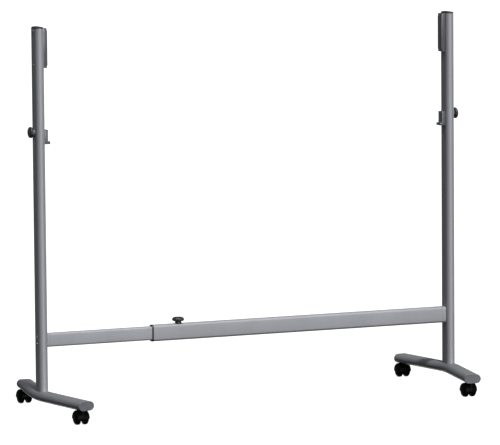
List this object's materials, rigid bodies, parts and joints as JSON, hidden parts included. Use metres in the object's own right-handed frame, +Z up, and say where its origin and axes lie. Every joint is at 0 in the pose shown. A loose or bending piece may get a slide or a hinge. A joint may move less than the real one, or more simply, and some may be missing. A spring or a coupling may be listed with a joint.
{
  "type": "mobile whiteboard stand",
  "caption": "Wheeled stand for a whiteboard: oval-tube uprights on bent castor feet, a telescoping clamped crossbar, and brackets with adjustable ledges that hold a board.",
  "frame": {"origin": "on the floor, at the middle of the stand's bounding box", "axes": "+X across the stand from the slim crossbar tube to the wide one, +Y from front to rear, +Z up"},
  "size_m": [2.0302, 0.7848, 1.6808],
  "materials": {
    "frame_paint": "satin silver-grey powder coat",
    "foot_paint": "satin mid-grey powder coat",
    "bracket_paint": "smooth dark grey powder coat",
    "grey_plastic": "matt moulded plastic",
    "black_plastic": "fine-grained moulded plastic",
    "wheel_plastic": "satin black nylon",
    "zinc_steel": "dulled zinc plate"
  },
  "bodies": {
    "right_frame": {"right_upright": "frame_paint", "right_top_cap": "black_plastic", "right_foot": "foot_paint", "right_front_foot_cap": "grey_plastic", "right_rear_foot_cap": "grey_plastic", "right_foot_bolt": "zinc_steel", "right_top_bracket": "bracket_paint", "right_bracket_screw_lower": "zinc_steel", "right_bracket_screw_upper": "zinc_steel", "right_crossbar_screw_lower": "zinc_steel", "right_crossbar_screw_upper": "zinc_steel", "right_crossbar_end_block": "frame_paint", "right_front_castor_stem": "zinc_steel", "right_rear_castor_stem": "zinc_steel", "outer_crossbar": "frame_paint", "crossbar_collar": "black_plastic", "clamp_insert": "zinc_steel"},
    "left_frame": {"left_upright": "frame_paint", "left_top_cap": "black_plastic", "left_foot": "foot_paint", "left_front_foot_cap": "grey_plastic", "left_rear_foot_cap": "grey_plastic", "left_foot_bolt": "zinc_steel", "left_top_bracket": "bracket_paint", "left_bracket_screw_lower": "zinc_steel", "left_bracket_screw_upper": "zinc_steel", "left_crossbar_screw_lower": "zinc_steel", "left_crossbar_screw_upper": "zinc_steel", "left_crossbar_end_block": "frame_paint", "left_front_castor_stem": "zinc_steel", "left_rear_castor_stem": "zinc_steel", "inner_crossbar": "frame_paint", "inner_crossbar_guide": "black_plastic"},
    "clamp_screw": {"clamp_screw": "zinc_steel"},
    "clamp_knob": {"clamp_knob": "black_plastic"},
    "left_ledge": {"left_ledge_bracket": "bracket_paint", "left_ledge_stud": "zinc_steel"},
    "left_ledge_spacer": {"left_ledge_spacer": "grey_plastic"},
    "left_ledge_knob": {"left_ledge_knob": "black_plastic"},
    "left_front_castor": {"left_front_castor_housing": "wheel_plastic", "left_front_castor_axle": "zinc_steel"},
    "left_front_castor_inner_wheel": {"left_front_castor_inner_wheel": "wheel_plastic"},
    "left_front_castor_outer_wheel": {"left_front_castor_outer_wheel": "wheel_plastic"},
    "left_rear_castor": {"left_rear_castor_housing": "wheel_plastic", "left_rear_castor_axle": "zinc_steel"},
    "left_rear_castor_inner_wheel": {"left_rear_castor_inner_wheel": "wheel_plastic"},
    "left_rear_castor_outer_wheel": {"left_rear_castor_outer_wheel": "wheel_plastic"},
    "right_ledge": {"right_ledge_bracket": "bracket_paint", "right_ledge_stud": "zinc_steel"},
    "right_ledge_spacer": {"right_ledge_spacer": "grey_plastic"},
    "right_ledge_knob": {"right_ledge_knob": "black_plastic"},
    "right_front_castor": {"right_front_castor_housing": "wheel_plastic", "right_front_castor_axle": "zinc_steel"},
    "right_front_castor_inner_wheel": {"right_front_castor_inner_wheel": "wheel_plastic"},
    "right_front_castor_outer_wheel": {"right_front_castor_outer_wheel": "wheel_plastic"},
    "right_rear_castor": {"right_rear_castor_housing": "wheel_plastic", "right_rear_castor_axle": "zinc_steel"},
    "right_rear_castor_inner_wheel": {"right_rear_castor_inner_wheel": "wheel_plastic"},
    "right_rear_castor_outer_wheel": {"right_rear_castor_outer_wheel": "wheel_plastic"}
  },
  "joints": [
    {"name": "crossbar_slide", "type": "slide", "parent": "right_frame", "child": "left_frame", "axis": [1, 0, 0], "range_m": [-0.25, 0.47]},
    {"name": "clamp_screw_travel", "type": "slide", "parent": "right_frame", "child": "clamp_screw", "axis": [0, 0, 1], "range_m": [0, 0.000625]},
    {"name": "clamp_knob_turn", "type": "hinge", "parent": "clamp_screw", "child": "clamp_knob", "pos_m": [-0.333, -0.01022, 0.38], "axis": [0, 0, 1], "range_deg": [0, 180]},
    {"name": "left_ledge_slide", "type": "slide", "parent": "left_frame", "child": "left_ledge", "axis": [0, 0, 1], "range_m": [-0.104, 0]},
    {"name": "left_ledge_spacer_travel", "type": "slide", "parent": "left_ledge", "child": "left_ledge_spacer", "axis": [-1, 0, 0], "range_m": [0, 0.0025]},
    {"name": "left_ledge_knob_turn", "type": "hinge", "parent": "left_ledge_spacer", "child": "left_ledge_knob", "pos_m": [-1.005, -0.01022, 1.227], "axis": [-1, 0, 0], "range_deg": [0, 720]},
    {"name": "left_front_castor_swivel", "type": "hinge", "parent": "left_frame", "child": "left_front_castor", "pos_m": [-0.91467, -0.35464, 0.05], "axis": [0, 0, 1], "continuous": true},
    {"name": "left_front_castor_inner_wheel_spin", "type": "hinge", "parent": "left_front_castor", "child": "left_front_castor_inner_wheel", "pos_m": [-0.91467, -0.32964, 0.03], "axis": [1, 0, 0], "continuous": true},
    {"name": "left_front_castor_outer_wheel_spin", "type": "hinge", "parent": "left_front_castor", "child": "left_front_castor_outer_wheel", "pos_m": [-0.91467, -0.32964, 0.03], "axis": [1, 0, 0], "continuous": true},
    {"name": "left_rear_castor_swivel", "type": "hinge", "parent": "left_frame", "child": "left_rear_castor", "pos_m": [-0.91467, 0.33421, 0.05], "axis": [0, 0, 1], "continuous": true},
    {"name": "left_rear_castor_inner_wheel_spin", "type": "hinge", "parent": "left_rear_castor", "child": "left_rear_castor_inner_wheel", "pos_m": [-0.91467, 0.35921, 0.03], "axis": [1, 0, 0], "continuous": true},
    {"name": "left_rear_castor_outer_wheel_spin", "type": "hinge", "parent": "left_rear_castor", "child": "left_rear_castor_outer_wheel", "pos_m": [-0.91467, 0.35921, 0.03], "axis": [1, 0, 0], "continuous": true},
    {"name": "right_ledge_slide", "type": "slide", "parent": "right_frame", "child": "right_ledge", "axis": [0, 0, 1], "range_m": [-0.104, 0]},
    {"name": "right_ledge_spacer_travel", "type": "slide", "parent": "right_ledge", "child": "right_ledge_spacer", "axis": [1, 0, 0], "range_m": [0, 0.0025]},
    {"name": "right_ledge_knob_turn", "type": "hinge", "parent": "right_ledge_spacer", "child": "right_ledge_knob", "pos_m": [1.005, -0.01022, 1.227], "axis": [1, 0, 0], "range_deg": [0, 720]},
    {"name": "right_front_castor_swivel", "type": "hinge", "parent": "right_frame", "child": "right_front_castor", "pos_m": [0.91467, -0.35464, 0.05], "axis": [0, 0, 1], "continuous": true},
    {"name": "right_front_castor_inner_wheel_spin", "type": "hinge", "parent": "right_front_castor", "child": "right_front_castor_inner_wheel", "pos_m": [0.91467, -0.32964, 0.03], "axis": [1, 0, 0], "continuous": true},
    {"name": "right_front_castor_outer_wheel_spin", "type": "hinge", "parent": "right_front_castor", "child": "right_front_castor_outer_wheel", "pos_m": [0.91467, -0.32964, 0.03], "axis": [1, 0, 0], "continuous": true},
    {"name": "right_rear_castor_swivel", "type": "hinge", "parent": "right_frame", "child": "right_rear_castor", "pos_m": [0.91467, 0.33421, 0.05], "axis": [0, 0, 1], "continuous": true},
    {"name": "right_rear_castor_inner_wheel_spin", "type": "hinge", "parent": "right_rear_castor", "child": "right_rear_castor_inner_wheel", "pos_m": [0.91467, 0.35921, 0.03], "axis": [1, 0, 0], "continuous": true},
    {"name": "right_rear_castor_outer_wheel_spin", "type": "hinge", "parent": "right_rear_castor", "child": "right_rear_castor_outer_wheel", "pos_m": [0.91467, 0.35921, 0.03], "axis": [1, 0, 0], "continuous": true}
  ],
  "couplings": [
    {"joint": "clamp_screw_travel", "follows": "clamp_knob_turn", "m_per_rad": 0.00019894},
    {"joint": "left_ledge_spacer_travel", "follows": "left_ledge_knob_turn", "m_per_rad": 0.00019894},
    {"joint": "right_ledge_spacer_travel", "follows": "right_ledge_knob_turn", "m_per_rad": 0.00019894}
  ]
}
